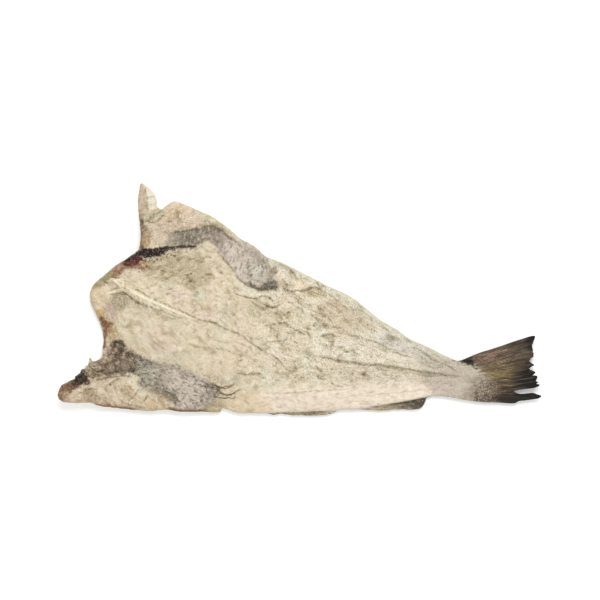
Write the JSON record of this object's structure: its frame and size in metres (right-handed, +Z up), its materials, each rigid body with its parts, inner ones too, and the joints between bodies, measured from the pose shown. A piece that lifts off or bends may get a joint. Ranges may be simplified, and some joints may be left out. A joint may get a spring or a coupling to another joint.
{
  "type": "salted dried cod",
  "caption": "Whole headed cod split open flat, salted and dried, lying skin side down with curled napes, dark belly lining and a frayed tail fin.",
  "frame": {"origin": "centre of the bounding box in X and Y, at the height of the surface that the skin side rests on", "axes": "+X from the head cut to the tail fin, +Y from the lower flank to the flank with the pointed nape, +Z up from the skin side to the flesh side"},
  "size_m": [0.699, 0.3348, 0.0433],
  "materials": {
    "dried_flesh": "matte cream-tan dried and salted fish flesh, with grey-black belly lining, rust-brown head cut and olive-brown skin and tail fin"
  },
  "bodies": {
    "root": {"split_cod": "dried_flesh"}
  },
  "joints": []
}
